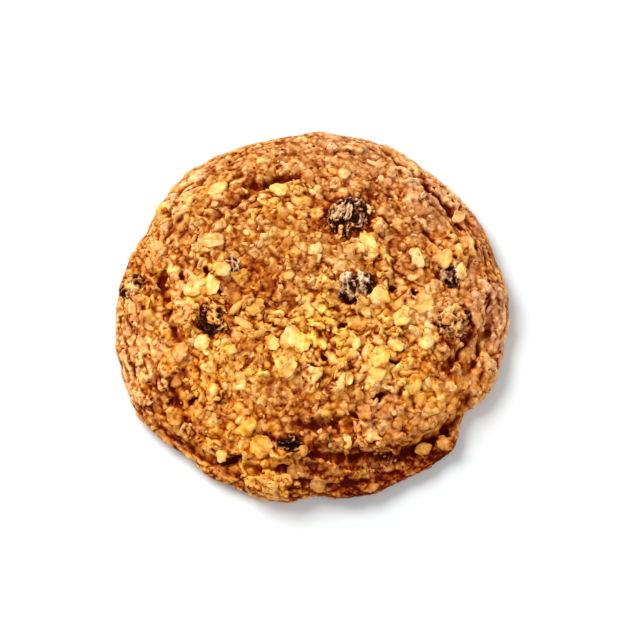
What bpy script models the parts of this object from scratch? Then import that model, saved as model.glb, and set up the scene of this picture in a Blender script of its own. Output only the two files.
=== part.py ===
"""Oatmeal raisin cookie: one mound of baked oat dough with eight raisins set in its top and rim.

Metres, +Z up. The cookie lies on the plane z = 0, its origin at the bottom centre.
Angles are degrees round +Z from +X. Shape lengths are millimetres until `metres` turns them.
"""

import math

import bmesh
import bpy
from mathutils import Euler, Vector, noise

# ---------------------------------------------------------------- driving dimensions (mm)

EDGE_RADIUS = 50.9          # mean radius of the widest line, near the foot of the rim
CENTRE_HEIGHT = 16.4        # top of the dome above the plane it rests on
EDGE_HEIGHT = 4.3           # height of the widest line
UNDERCUT = 3.8              # how far the rim rolls in below the widest line
UNDERSIDE_DIP = 0.6         # the lower part of the sphere passes this far below the cut at z = 0
DOME_ROUNDNESS = 2.25       # higher keeps the dome flat for longer before the shoulder
SHOULDER_SOFTNESS = 0.56    # lower makes the shoulder squarer
EDGE_BLEND = 3              # higher keeps the outline's lobes out of the middle of the dome
RELIEF_FADE = 20            # creases and lumps fade out this sharply at the widest line
CREASE_END = 12.0           # higher ends a crease more abruptly
CREASE_WALL = 2.4           # higher makes the drop across a crease steeper
LUMP_HEIGHT = 0.8           # broad unevenness of the baked dough
LUMP_SPACING = 8.0
FINE_LUMP_SHARE = 0.5       # lumps of a finer kind, as a share of the broad ones' height
FINE_LUMP_SPACING = 3.5
SOCKET_GAP = 0.3            # air left between a raisin and the dough round it
RAISIN_FOLDS = 2.5          # waves of skin folds round a raisin; each shows as two folds
FOLD_WANDER = 2.2           # how far the folds stray from straight
FOLD_SHARE = 0.09           # fold height as a share of the raisin's half size
DENT_SHARE = 0.07           # and the depth of its broad dents
DENT_RATE = 1.7             # higher makes the dents smaller
DOUGH_DETAIL = 5            # subdivisions of the sphere that becomes the dough
RAISIN_DETAIL = 3           # and of the sphere that becomes a raisin
EDGE_LEVEL = -0.42          # level on the unit sphere that becomes the widest line
BASE_LEVEL = -0.69          # level on the unit sphere where the rolled rim meets z = 0

# Bulges and notches of the outline: middle angle, half width in degrees, height.
OUTLINE_LOBES = (
    (0, 16, 0.8), (33, 13, 0.7), (67, 10, 0.9), (92, 8, -0.4), (128, 10, 1.4), (153, 7, -1.1),
    (182, 12, 1.0), (208, 17, 2.2), (229, 5, -0.9), (246, 4, -1.1), (252, 20, 0.8),
    (271, 5, -2.1), (312, 8, 1.5), (327, 5, -2.3), (342, 8, 0.4),
)

# Creases left where the dough slumped and cracked as it spread. Each runs along an arc:
# start angle, end angle, radius at the start, radius at the end, half width, depth,
# and how far the dough outside the crease drops.
CREASES = (
    (28, 66, 43.6, 46.6, 1.7, 1.0, 1.4),       # shelf along the upper right of the rim
    (16, 38, 41.0, 35.6, 1.6, 0.9, 0.6),       # short crease inside that shelf
    (-22, 2, 43.8, 46.8, 1.6, 1.1, 1.2),       # step at the right
    (-26, -6, 37.0, 43.0, 1.6, 1.0, 0.6),      # crease inside the step
    (-72, -30, 43.8, 46.2, 1.7, 2.0, 3.4),     # edge of the cap above the spread foot
    (-98, -62, 31.4, 31.2, 1.8, 0.9, 0.3),     # groove across the front slope
    (96, 130, 37.2, 35.6, 1.7, 1.0, 0.7),      # crease across the back slope
    (164, 194, 39.6, 35.4, 1.9, 1.4, 1.1),     # groove inside the left lobe
    (216, 242, 47.6, 47.0, 1.4, 1.0, 0.8),     # fold low on the front left
)

# Raisins: name, x, y, length, width, thickness, yaw, tilt, and how deep the middle of the
# raisin lies below the dough round it.
RAISINS = (
    ("raisin_back", 9.4, 23.9, 12.4, 10.8, 8.0, 52, 8, 1.9),
    ("raisin_centre", 10.7, 5.3, 11.6, 9.4, 7.4, 14, -6, 2.0),
    ("raisin_left", -25.0, -3.4, 11.0, 9.0, 7.6, 74, 10, 2.5),
    ("raisin_right", 36.4, -3.8, 11.6, 10.2, 7.8, 60, 6, 1.9),
    ("raisin_rim", -46.4, 7.6, 9.6, 7.0, 6.4, 52, 0, 2.2),
    ("raisin_right_small", 35.6, 8.6, 8.2, 6.8, 6.0, 100, -8, 1.8),
    ("raisin_left_small", -21.2, 10.2, 9.0, 7.0, 6.0, 96, 6, 2.0),
    ("raisin_front", -6.2, -37.6, 10.8, 8.4, 6.8, 12, -4, 2.2),
)


def metres(millimetres):
    return millimetres * 0.001


# ---------------------------------------------------------------- scene and materials


def clear_scene():
    for obj in list(bpy.data.objects):
        bpy.data.objects.remove(obj, do_unlink=True)


def new_collection(name):
    collection = bpy.data.collections.new(name)
    bpy.context.scene.collection.children.link(collection)
    return collection


def plain_material(name, colour, roughness):
    material = bpy.data.materials.new(name)
    material.use_nodes = True
    shader = material.node_tree.nodes["Principled BSDF"]
    shader.inputs["Base Color"].default_value = (*colour, 1.0)
    shader.inputs["Roughness"].default_value = roughness
    shader.inputs["Metallic"].default_value = 0.0
    return material


def object_from_bmesh(name, mesh_data, collection, material):
    mesh = bpy.data.meshes.new(name)
    mesh_data.to_mesh(mesh)
    mesh_data.free()
    mesh.shade_smooth()
    obj = bpy.data.objects.new(name, mesh)
    collection.objects.link(obj)
    if material:
        mesh.materials.append(material)
    return obj


# ---------------------------------------------------------------- form of the dough


def angle_apart(angle, other):
    """Signed difference of two angles in degrees, between -180 and 180."""
    return (angle - other + 180.0) % 360.0 - 180.0


def outline_radius(angle):
    """Radius of the widest line at an angle."""
    radius = EDGE_RADIUS
    for middle, half_width, height in OUTLINE_LOBES:
        radius += height * math.exp(-(angle_apart(angle, middle) / half_width) ** 2)
    return radius


def crease_change(angle, radius):
    """Change of height that the creases make at a place on top of the dough."""
    change = 0.0
    for start, end, start_radius, end_radius, half_width, depth, drop in CREASES:
        middle = (start + end) / 2.0
        half_span = (end - start) / 2.0
        along = angle_apart(angle, middle) / half_span
        line = start_radius + (end_radius - start_radius) * (along + 1.0) / 2.0
        strength = 1.0 / (1.0 + math.exp((abs(along) - 1.0) * CREASE_END))
        across = (radius - line) / half_width
        change -= strength * depth * math.exp(-across * across)
        change -= strength * drop / (1.0 + math.exp(-CREASE_WALL * across))
    return change


def dome_height(share):
    """Height of the smooth dome at a share of the way out to the edge."""
    rise = max(1.0 - share ** DOME_ROUNDNESS, 0.0) ** SHOULDER_SOFTNESS
    return EDGE_HEIGHT + (CENTRE_HEIGHT - EDGE_HEIGHT) * rise


def lumps(x, y):
    """Height of the baked dough's broad and fine unevenness."""
    place = Vector((x, y, LUMP_SPACING / 2.0))
    broad = noise.noise(place / LUMP_SPACING)
    fine = noise.noise(place / FINE_LUMP_SPACING)
    return LUMP_HEIGHT * (broad + FINE_LUMP_SHARE * fine)


def edge_share(angle, radius):
    """Share of the way out to the edge: round in the middle, lobed like the outline outside."""
    lobed = min(radius / outline_radius(angle), 1.0)
    plain = radius / EDGE_RADIUS
    follow = lobed ** EDGE_BLEND
    return min(plain + (lobed - plain) * follow, 1.0)


def top_height(x, y):
    """Height of the top of the dough above a place inside the outline."""
    angle = math.degrees(math.atan2(y, x))
    radius = math.hypot(x, y)
    share = edge_share(angle, radius)
    inside = 1.0 - share ** RELIEF_FADE
    return dome_height(share) + (crease_change(angle, radius) + lumps(x, y)) * inside


def rolled_edge(edge, level):
    """Radius and height of the rolled-in rim at a level of the unit sphere."""
    turn = (EDGE_LEVEL - level) / (EDGE_LEVEL - BASE_LEVEL)
    if turn >= 1.0:
        inward = (1.0 + level) / (1.0 + BASE_LEVEL)
        return (edge - UNDERCUT) * inward, -UNDERSIDE_DIP
    quarter = turn * math.pi / 2.0
    return edge - UNDERCUT * (1.0 - math.cos(quarter)), EDGE_HEIGHT * (1.0 - math.sin(quarter))


def dough_point(direction):
    """Where a point of the unit sphere goes on the dough; triangles keep an even size."""
    angle = math.atan2(direction.y, direction.x)
    edge = outline_radius(math.degrees(angle))
    if direction.z < EDGE_LEVEL:
        radius, height = rolled_edge(edge, direction.z)
        return Vector((radius * math.cos(angle), radius * math.sin(angle), height))
    radius = edge * math.sqrt((1.0 - direction.z) / (1.0 - EDGE_LEVEL))
    x = radius * math.cos(angle)
    y = radius * math.sin(angle)
    return Vector((x, y, top_height(x, y)))


def build_dough(collection):
    """The mound: a sphere primitive carried onto the form and cut flat where it rests."""
    dough = bmesh.new()
    bmesh.ops.create_icosphere(dough, subdivisions=DOUGH_DETAIL, radius=1.0)
    for vertex in dough.verts:
        vertex.co = dough_point(vertex.co) * metres(1.0)
    everything = dough.verts[:] + dough.edges[:] + dough.faces[:]
    cut = bmesh.ops.bisect_plane(
        dough, geom=everything, plane_co=(0, 0, 0), plane_no=(0, 0, -1), clear_outer=True
    )
    rim = [item for item in cut["geom_cut"] if isinstance(item, bmesh.types.BMEdge)]
    bmesh.ops.contextual_create(dough, geom=rim)
    bmesh.ops.recalc_face_normals(dough, faces=dough.faces[:])
    material = plain_material("baked_dough", (0.50, 0.22, 0.055), 0.75)
    return object_from_bmesh("dough", dough, collection, material)


# ---------------------------------------------------------------- raisins


def wrinkle(direction, seed):
    """Radius factor of a dried raisin: folds that run lengthwise and wander."""
    around = math.atan2(direction.z, direction.y)
    wander = noise.noise(direction * DENT_RATE + Vector((0.0, seed, 0.0)))
    fold = abs(math.sin(RAISIN_FOLDS * around + FOLD_WANDER * wander + seed))
    dent = noise.noise(direction * DENT_RATE + Vector((seed, 0.0, seed)))
    return 1.0 - FOLD_SHARE * (1.0 - fold) + DENT_SHARE * dent


def raisin_mesh(size, seed, grow):
    """A raisin about its own middle, its surface pushed out by `grow`."""
    body = bmesh.new()
    bmesh.ops.create_icosphere(body, subdivisions=RAISIN_DETAIL, radius=1.0)
    length, width, thickness = size
    for vertex in body.verts:
        direction = vertex.co.normalized()
        factor = wrinkle(direction, seed)
        half = Vector((direction.x * length, direction.y * width, direction.z * thickness)) / 2.0
        vertex.co = half * factor * metres(1.0)
    bmesh.ops.recalc_face_normals(body, faces=body.faces[:])
    body.normal_update()
    if grow:
        normals = [vertex.normal.copy() for vertex in body.verts]
        for vertex, normal in zip(body.verts, normals):
            vertex.co += normal * metres(grow)
    return body


def place_raisin(obj, x, y, depth, yaw, tilt):
    """Set a raisin or its socket cutter into the dough, its middle `depth` below the surface."""
    obj.location = Vector((x, y, top_height(x, y) - depth)) * metres(1.0)
    obj.rotation_euler = Euler((math.radians(tilt), math.radians(tilt / 2.0), math.radians(yaw)))


def cut_socket(dough, cutter):
    """Cut the hollow that a raisin sits in."""
    cutter.hide_render = True
    cutter.display_type = "WIRE"
    socket = dough.modifiers.new(cutter.name, "BOOLEAN")
    socket.operation = "DIFFERENCE"
    socket.solver = "EXACT"
    socket.object = cutter


def build_raisins(dough, collection, cutters):
    skin = plain_material("raisin_skin", (0.035, 0.012, 0.010), 0.45)
    for index, raisin in enumerate(RAISINS):
        name, x, y, length, width, thickness, yaw, tilt, depth = raisin
        size = (length, width, thickness)
        seed = 1.7 * (index + 1)    # any spread-out numbers make the raisins differ
        body = object_from_bmesh(name, raisin_mesh(size, seed, 0.0), collection, skin)
        place_raisin(body, x, y, depth, yaw, tilt)
        grown = raisin_mesh(size, seed, SOCKET_GAP)
        cutter = object_from_bmesh(name + "_socket", grown, cutters, None)
        place_raisin(cutter, x, y, depth, yaw, tilt)
        cut_socket(dough, cutter)


def centre_on_origin(dough, pieces):
    """Move all the pieces so that the dough's box is centred over the origin."""
    across = [vertex.co.x for vertex in dough.data.vertices]
    along = [vertex.co.y for vertex in dough.data.vertices]
    middle = Vector((max(across) + min(across), max(along) + min(along), 0.0)) / 2.0
    for piece in pieces:
        piece.location -= middle


clear_scene()
cookie = new_collection("oatmeal_raisin_cookie")
cookie_cutters = new_collection("cutters")
mound = build_dough(cookie)
build_raisins(mound, cookie, cookie_cutters)
centre_on_origin(mound, list(cookie.objects) + list(cookie_cutters.objects))
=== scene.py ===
"""Oatmeal raisin cookie: the baked mound of dough with its rolled oats, crumbs and raisins."""

import itertools
import math

import bmesh
import bpy
import numpy as np
from mathutils import Euler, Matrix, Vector
from mathutils.kdtree import KDTree


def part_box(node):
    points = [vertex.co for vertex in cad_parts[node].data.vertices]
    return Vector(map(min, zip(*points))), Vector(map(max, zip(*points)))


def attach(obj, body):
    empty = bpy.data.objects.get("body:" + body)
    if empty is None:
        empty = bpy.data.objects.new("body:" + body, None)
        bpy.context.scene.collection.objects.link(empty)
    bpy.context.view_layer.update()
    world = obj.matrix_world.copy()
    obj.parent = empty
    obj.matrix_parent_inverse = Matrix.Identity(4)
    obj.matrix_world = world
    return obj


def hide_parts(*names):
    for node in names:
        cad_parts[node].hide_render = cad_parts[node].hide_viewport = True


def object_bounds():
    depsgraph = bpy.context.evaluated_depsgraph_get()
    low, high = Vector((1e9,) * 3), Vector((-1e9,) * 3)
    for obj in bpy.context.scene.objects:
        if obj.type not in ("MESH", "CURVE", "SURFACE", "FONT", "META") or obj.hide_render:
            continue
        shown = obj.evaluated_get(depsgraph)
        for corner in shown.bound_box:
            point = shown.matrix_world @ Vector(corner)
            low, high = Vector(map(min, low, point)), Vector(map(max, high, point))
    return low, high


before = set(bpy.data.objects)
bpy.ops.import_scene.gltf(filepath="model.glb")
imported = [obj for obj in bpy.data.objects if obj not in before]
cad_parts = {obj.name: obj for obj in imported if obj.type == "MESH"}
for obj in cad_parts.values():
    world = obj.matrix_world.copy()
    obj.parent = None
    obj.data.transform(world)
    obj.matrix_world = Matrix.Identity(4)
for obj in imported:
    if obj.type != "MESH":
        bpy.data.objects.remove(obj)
cad_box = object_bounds()


# ---------------------------------------------------------------- the mound of dough
# One scoop of oat dough, slumped and baked: butter and brown sugar hold whole and broken
# rolled oats together. Its crust is a skin of lumps and buried oats, folded where it spread
# and open where a raisin shows. Everything else is stuck to it or sunk in it.

MM = 0.001


def unit_ball(detail):
    """Points and triangles of a ball of radius 1."""
    ball = bmesh.new()
    bmesh.ops.create_icosphere(ball, subdivisions=detail, radius=1.0)
    points = np.array([vertex.co[:] for vertex in ball.verts])
    triangles = np.array([[vertex.index for vertex in face.verts] for face in ball.faces])
    ball.free()
    return points, triangles


def new_mesh(name, points, triangles):
    """A mesh from an array of points in millimetres and an array of triangles."""
    mesh = bpy.data.meshes.new(name)
    mesh.vertices.add(len(points))
    mesh.vertices.foreach_set("co", (np.asarray(points) * MM).astype(np.float32).ravel())
    corners = np.asarray(triangles, np.int32).ravel()
    mesh.loops.add(len(corners))
    mesh.loops.foreach_set("vertex_index", corners)
    mesh.polygons.add(len(triangles))
    mesh.polygons.foreach_set("loop_start", np.arange(0, len(corners), 3, dtype=np.int32))
    mesh.update(calc_edges=True)
    mesh.shade_smooth()
    return mesh


def new_piece(name, data):
    """An object that holds a mesh, a lamp or a camera."""
    piece = bpy.data.objects.new(name, data)
    bpy.context.scene.collection.objects.link(piece)
    return piece


def read_points(mesh):
    """Points of a mesh in millimetres, and its unit normals."""
    points = np.empty(len(mesh.vertices) * 3)
    mesh.vertices.foreach_get("co", points)
    normals = np.empty(len(mesh.vertices) * 3)
    mesh.vertex_normals.foreach_get("vector", normals)
    return points.reshape(-1, 3) / MM, normals.reshape(-1, 3)


def write_points(mesh, points):
    mesh.vertices.foreach_set("co", (points * MM).astype(np.float32).ravel())
    mesh.update()


def reshaped(mesh, points):
    """Move a mesh's points, and give them back with their new normals."""
    write_points(mesh, points)
    return read_points(mesh)


def read_triangles(mesh):
    mesh.calc_loop_triangles()
    triangles = np.empty(len(mesh.loop_triangles) * 3, np.int32)
    mesh.loop_triangles.foreach_get("vertices", triangles)
    return triangles.reshape(-1, 3)


def read_shape(mesh):
    """Points and triangles of a mesh."""
    return read_points(mesh)[0], read_triangles(mesh)


def write_attribute(mesh, name, values):
    attribute = mesh.attributes.new(name, "FLOAT", "POINT")
    attribute.data.foreach_set("value", np.asarray(values, np.float32))


def with_modifiers(piece):
    """Apply the piece's modifiers to its mesh."""
    graph = bpy.context.evaluated_depsgraph_get()
    mesh = bpy.data.meshes.new_from_object(piece.evaluated_get(graph))
    piece.modifiers.clear()
    piece.data = mesh
    return piece


def fused(piece, voxel):
    """Melt everything in the piece into one skin."""
    remesh = piece.modifiers.new("fuse", "REMESH")
    remesh.mode = "VOXEL"
    remesh.voxel_size = voxel * MM
    remesh.use_smooth_shade = True
    return with_modifiers(piece)


def thin(piece, triangles):
    """Collapse edges until the piece has about so many triangles."""
    count = len(read_triangles(piece.data))
    if count > triangles:
        collapse = piece.modifiers.new("thin", "DECIMATE")
        collapse.ratio = triangles / count
        with_modifiers(piece)


def joined(batches):
    """One array of points and one of triangles from several of each."""
    points, triangles, start = [], [], 0
    for some_points, some_triangles in batches:
        points.append(some_points)
        triangles.append(some_triangles + start)
        start += len(some_points)
    return np.concatenate(points), np.concatenate(triangles)


def tree_of(points):
    """A tree that finds which points lie near a place."""
    tree = KDTree(len(points))
    for index, point in enumerate(points):
        tree.insert(point, index)
    tree.balance()
    return tree


def unit(vectors):
    """Rows of length 1 that point the same way."""
    return vectors / np.maximum(np.linalg.norm(vectors, axis=1), 1e-6)[:, None]


def turned(across, away, degrees):
    """How far along a direction and how far aside of it something lies."""
    turn = math.radians(degrees)
    along = across * math.cos(turn) + away * math.sin(turn)
    return along, away * math.cos(turn) - across * math.sin(turn)


def smooth_step(values):
    """0 below 0 and 1 above 1, with a soft slope between them."""
    values = np.clip(values, 0, 1)
    return values * values * (3 - 2 * values)


def lattice_values(cells, seed):
    """Repeatable whole numbers, 0 to 1023, for whole-number cells of space."""
    cells = cells.astype(np.int64)
    mixed = cells[..., 0] * 73856093 ^ cells[..., 1] * 19349663 ^ cells[..., 2] * 83492791
    mixed = (mixed ^ seed * 2654435761) & 0xFFFFFFFF
    mixed = (mixed ^ (mixed >> 15)) * 2246822519 & 0xFFFFFFFF
    return (mixed ^ (mixed >> 13)) & 1023


LATTICE = np.random.default_rng(11).random((1024, 3))
GRADIENTS = unit(np.random.default_rng(12).normal(size=(1024, 3)))


def ripple(points, size, seed):
    """Smooth noise from about -1 to 1 whose waves are about `size` across."""
    place = points / size
    cell = np.floor(place)
    inside = place - cell
    fade = inside ** 3 * (inside * (inside * 6 - 15) + 10)
    total = np.zeros(len(points))
    for corner in itertools.product((0, 1), repeat=3):
        corner = np.array(corner)
        slope = GRADIENTS[lattice_values(cell + corner, seed)]
        weight = np.prod(np.where(corner, fade, 1 - fade), axis=1)
        total += weight * np.einsum("ij,ij->i", slope, inside - corner)
    return total * 1.6


def stirred(points, size, reach, seed):
    """Points pushed about by smooth noise, so that what is built on them isn't regular."""
    push = [ripple(points, size, seed + axis) for axis in range(3)]
    return points + reach * np.stack(push, axis=1)


def pebbles(points, size, seed):
    """Packed uneven grains about `size` across.

    Gives their height, 1 on a grain and 0 in the crack between grains, the height of a smaller
    round knob on each, and each grain's own number from 0 to 1, which slants across it.
    """
    place = points / size
    cell = np.floor(place)
    nearest = np.full(len(points), 9.0)
    second = np.full(len(points), 9.0)
    own = np.zeros(len(points))
    for step in itertools.product((-1, 0, 1), repeat=3):
        other = cell + np.array(step)
        mark = lattice_values(other, seed)
        offset = other + LATTICE[mark] - place
        apart = (offset ** 2).sum(axis=1)
        slant = 0.55 * np.einsum("ij,ij->i", offset, GRADIENTS[mark])
        own = np.where(apart < nearest, LATTICE[(mark * 7 + 3) & 1023, 1] + slant, own)
        second = np.minimum(second, np.maximum(apart, nearest))
        nearest = np.minimum(nearest, apart)
    nearest, second = np.sqrt(nearest), np.sqrt(second)
    grain = np.clip(1.15 * (second - nearest), 0, 1) ** 0.6
    return grain, smooth_step((0.66 - nearest) / 0.42), np.clip(own, 0, 1)


def surface_places(points, triangles, count, random):
    """Random places on a surface, with the normal of the triangle each lies on."""
    corners = points[triangles]
    across = np.cross(corners[:, 1] - corners[:, 0], corners[:, 2] - corners[:, 0])
    area = np.linalg.norm(across, axis=1)
    pick = random.choice(len(triangles), count, p=area / area.sum())
    share = np.sqrt(random.random(count))[:, None]
    split = random.random(count)[:, None]
    chosen = corners[pick]
    places = chosen[:, 0] * (1 - share) + chosen[:, 1] * share * (1 - split)
    places = places + chosen[:, 2] * share * split
    return places, across[pick] / area[pick][:, None]


def spaced(places, gap):
    """Which places to keep so that none is closer than its gap to one kept before it."""
    gap = np.broadcast_to(gap, len(places))
    kept = np.zeros(len(places), bool)
    width = float(gap.max())
    cells = {}
    for index, place in enumerate(places):
        home = tuple(int(part // width) for part in place)
        clear = True
        for step in itertools.product((-1, 0, 1), repeat=3):
            for other in cells.get((home[0] + step[0], home[1] + step[1], home[2] + step[2]), ()):
                apart = places[other] - place
                limit = 0.5 * (gap[other] + gap[index])
                if apart @ apart < limit * limit:
                    clear = False
                    break
            if not clear:
                break
        if clear:
            cells.setdefault(home, []).append(index)
            kept[index] = True
    return kept


def stances(normals, lean, random):
    """Turned frames for flat things on a surface: rows are length, width and up."""
    count = len(normals)
    up = unit(normals + random.normal(size=(count, 3)) * np.asarray(lean).reshape(-1, 1))
    along = random.normal(size=(count, 3))
    along = unit(along - up * np.einsum("ij,ij->i", along, up)[:, None])
    return np.stack([along, np.cross(up, along), up], axis=1)


def flake_halves(count, means, spreads, random):
    """Half lengths, widths and thicknesses of flakes, drawn in that order."""
    return np.stack([random.normal(mean, spread, count) for mean, spread in zip(means, spreads)], axis=1)


def placed(shapes, triangles, turns, places):
    """Points and triangles of many shapes, each turned and put in its place."""
    points = np.einsum("nij,njk->nik", shapes, turns) + places[:, None]
    offsets = np.arange(len(places))[:, None, None] * shapes.shape[1]
    return points.reshape(-1, 3), (triangles[None] + offsets).reshape(-1, 3)


def lump_batch(places, turns, halves, detail, bulge, seed):
    """Knobbly lumps of dough: balls stretched to half sizes and pushed about by noise."""
    ball, triangles = unit_ball(detail)
    shapes = ball[None] * halves[:, None]
    spots = ball[None] * 1.3 + np.arange(len(places))[:, None, None] * 7.3
    swell = 1 + bulge * ripple(spots.reshape(-1, 3), 1.0, seed).reshape(len(places), -1)
    return placed(shapes * swell[..., None], triangles, turns, places)


def flake_triangles(rings, sides):
    """Triangles of one flake: rings out over the top, round the edge and back underneath."""
    here = np.arange(sides)
    following = (here + 1) % sides
    loops = 2 * rings
    triangles = [np.stack([np.zeros_like(here), 1 + here, 1 + following], 1)]
    for ring in range(loops - 1):
        inner = 1 + ring * sides
        outer = inner + sides
        triangles.append(np.stack([inner + here, outer + here, outer + following], 1))
        triangles.append(np.stack([inner + here, outer + following, inner + following], 1))
    last = 1 + (loops - 1) * sides
    end = np.full_like(here, 1 + loops * sides)
    triangles.append(np.stack([last + here, end, last + following], 1))
    return np.concatenate(triangles)


def flake_outlines(count, angle, broken, random):
    """Reach of each flake at each angle: an uneven oval, cut straight where it has snapped."""
    reach = np.ones((count, len(angle)))
    for wave in (2, 3, 4, 5, 7, 9):
        height = random.normal(size=(count, 1)) * (0.10 + 0.08 * broken) / math.sqrt(wave)
        start = random.random((count, 1)) * 2 * math.pi
        reach += height * np.cos(wave * angle + start)
    for _ in range(3):
        turn = random.random((count, 1)) * 2 * math.pi
        distance = 0.25 + 0.6 * random.random((count, 1))
        distance[random.random((count, 1)) > broken] = 9.0
        facing = np.maximum(np.cos(angle - turn), 1e-3)
        reach = np.minimum(reach, distance / facing)
    return np.maximum(reach, 0.2)


def flake_batch(places, turns, halves, cup, broken, rings, sides, random):
    """Rolled oats: thin ovals, cupped, with a groove along them; `halves` are half sizes.

    Gives points, triangles, and how far each point is from its flake's middle to its edge.
    """
    count = len(places)
    angle = np.arange(sides) / sides * 2 * math.pi
    reach = flake_outlines(count, angle, broken, random)
    levels = [0.0, *rings, *reversed(rings), 0.0]
    above = [1.0] * (1 + len(rings)) + [-1.0] * (1 + len(rings))
    groove = random.random(count) * 0.6
    bend = random.normal(size=(count, 2)) * 0.5 + 0.55
    ruffle = random.random((count, 1)) * 2 * math.pi
    rows, edges = [], []
    for index, level in enumerate(levels):
        arc = slice(0, 1) if level == 0.0 else slice(None)
        x = reach[:, arc] * level * np.cos(angle[arc])
        y = reach[:, arc] * level * np.sin(angle[arc])
        thick = (0.72 + 0.36 * level ** 2) * above[index]
        if level == 1.0:
            thick = 0.45 * above[index]
        lift = cup[:, None] * (bend[:, :1] * x ** 2 + bend[:, 1:] * y ** 2)
        lift = lift + 0.2 * cup[:, None] * level * np.sin(3 * angle[arc] + ruffle)
        dip = groove[:, None] * np.exp(-(y / 0.14) ** 2) * (1 - np.minimum(abs(x), 1) ** 3)
        height = halves[:, 2:] * (thick - (dip if above[index] > 0 else 0)) + lift * halves[:, :1]
        rows.append(np.stack([x * halves[:, :1], y * halves[:, 1:2], height], axis=2))
        edges.append(np.full(x.shape, level))
    triangles = flake_triangles(len(rings), sides)
    points, triangles = placed(np.concatenate(rows, axis=1), triangles, turns, places)
    return points, triangles, np.concatenate(edges, axis=1).ravel()


# Sizes in millimetres, and the number of triangles that the crust is thinned to.
SKIN_DEPTH = 0.35           # the lumps and oats stand in a skin this deep
CORE_VOXEL = 0.8
CRUST_VOXEL = 0.34
EDGE_REACH = max(cad_box[1][0], -cad_box[0][0]) / MM
DOME_HEIGHT = cad_box[1][2] / MM
CRUST_TRIANGLES = 197000

# Each raisin's opening in the dough: from the raisin's middle across and away, then half
# sizes, and how ragged it is.
OPENINGS = {
    "raisin_back": (0.5, 0.0, 6.5, 5.9, 0.2),
    "raisin_centre": (0.4, 0.2, 4.6, 3.9, 0.75),
    "raisin_left": (0.3, -0.2, 5.2, 5.4, 0.2),
    "raisin_right": (0.2, -0.4, 5.2, 5.0, 0.45),
    "raisin_rim": (-0.6, 0.0, 3.6, 3.2, 0.4),
    "raisin_right_small": (-0.2, 0.2, 2.9, 3.3, 0.3),
    "raisin_left_small": (0.7, 0.5, 2.4, 1.9, 0.3),
    "raisin_front": (0.6, 0.4, 3.8, 2.6, 0.3),
}

# Heaps and hollows of the top: place, reach and rise, then how much paler it baked, and how
# much more orange (greyer when below nothing). One row is painted light instead of baking.
RISE, PALER, ORANGE = 3, 4, 5
HEAPS = (
    (28.5, -2.0, 7.5, 0.5, 0.22, 0.0),
    (15.2, 16.0, 4.5, 0.5, 0.24, 0.0),
    (-3.5, -10.0, 7.5, 0.4, 0.04, 0.0),
    (17.0, -15.5, 6.5, 0.6, 0.20, 0.0),
    (-29.5, 5.0, 5.0, 0.3, 0.20, 0.0),
    (14.5, -5.0, 5.0, 0.3, 0.15, 0.0),
    (-11.0, -46.0, 6.0, 0.6, 0.16, 0.4),
    (-18.0, -33.0, 5.0, 0.4, 0.12, 0.3),
    (38.0, 16.0, 5.5, 0.4, 0.12, 0.2),
    (-8.0, 22.0, 6.0, 0.3, 0.06, 0.2),
    (3.0, -27.0, 6.0, 0.2, 0.06, 0.1),
    (1.0, -34.0, 7.5, -0.2, -0.06, -0.1),
    (17.0, 30.0, 6.5, -0.3, -0.10, -0.2),
    (4.5, 25.0, 4.0, -0.2, -0.10, 0.0),
    (21.0, 14.0, 4.5, -0.2, -0.06, -0.1),
    (-11.0, -1.0, 8.5, -0.3, -0.10, 0.0),
    (-14.5, 34.0, 4.5, -0.5, -0.16, 0.0),
    (31.5, -38.5, 7.0, -0.4, -0.16, 0.0),
    (41.0, -31.0, 6.0, -0.2, -0.10, -0.2),
    (-24.0, -25.5, 3.0, -0.4, -0.08, 0.0),
    (-34.7, -23.5, 5.5, -0.2, -0.14, 0.2),
    (-40.5, 9.0, 3.5, -0.2, -0.14, 0.0),
    (-40.0, 0.0, 5.0, 0.2, 0.08, 0.1),
    (-24.0, -20.0, 18.0, 0.0, 0.05, 0.2),
    (6.0, 8.0, 8.0, 0.0, 0.07, -0.6),
    (30.0, 32.0, 16.0, 0.0, 0.05, -0.5),
    # Painted light: paler and greyer on the upper-left rim, which faces the window lamp.
    (-36.0, 34.0, 15.0, 0.0, 0.06, -0.30),
    (4.0, 49.0, 16.0, 0.0, 0.07, -0.60),
    (-50.0, -12.0, 13.0, 0.0, 0.09, -0.20),
    (2.0, 50.0, 8.0, 0.9, 0.0, 0.0),
    (51.0, 3.0, 9.0, 0.5, 0.0, 0.0),
    (-24.0, -42.0, 14.0, 0.0, -0.02, 0.2),
    (8.0, -49.0, 11.0, 0.0, -0.08, 0.1),
    (47.0, 0.0, 12.0, 0.0, 0.07, -0.45),
    (34.0, -14.0, 6.0, 0.0, -0.06, 0.0),
    (34.0, -24.0, 14.0, 0.0, 0.12, 0.35),
    (-14.0, -36.0, 12.0, 0.0, -0.03, 0.1),
)

# Where the top is lumpy (above nothing) or set smooth (below nothing): place, reach and how much.
PATCHES = (
    (2.0, -10.0, 10.0, 0.6),
    (18.0, -14.0, 9.0, 0.6),
    (28.0, -2.0, 8.0, 0.6),
    (15.0, 15.0, 6.0, 0.6),
    (-29.0, 6.0, 6.0, 0.6),
    (-20.0, -35.0, 7.0, 0.4),
    (27.0, -24.0, 8.0, 0.3),
    (-10.0, 34.0, 6.0, 0.3),
    (-10.0, -46.0, 6.0, 0.8),
    (-34.0, 33.0, 10.0, 0.6),
    (34.0, 34.0, 7.0, 0.5),
    (-8.0, 17.0, 9.0, -0.7),
    (25.0, 21.0, 8.0, -0.7),
    (-8.0, -24.0, 9.0, -0.5),
    (-34.0, -16.0, 8.0, -0.4),
    (-22.0, 28.0, 7.0, -0.4),
    (-12.0, 0.0, 6.0, -0.3),
    (40.0, 6.0, 7.0, -0.5),
    (2.0, 44.0, 14.0, -0.5),
)

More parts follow.
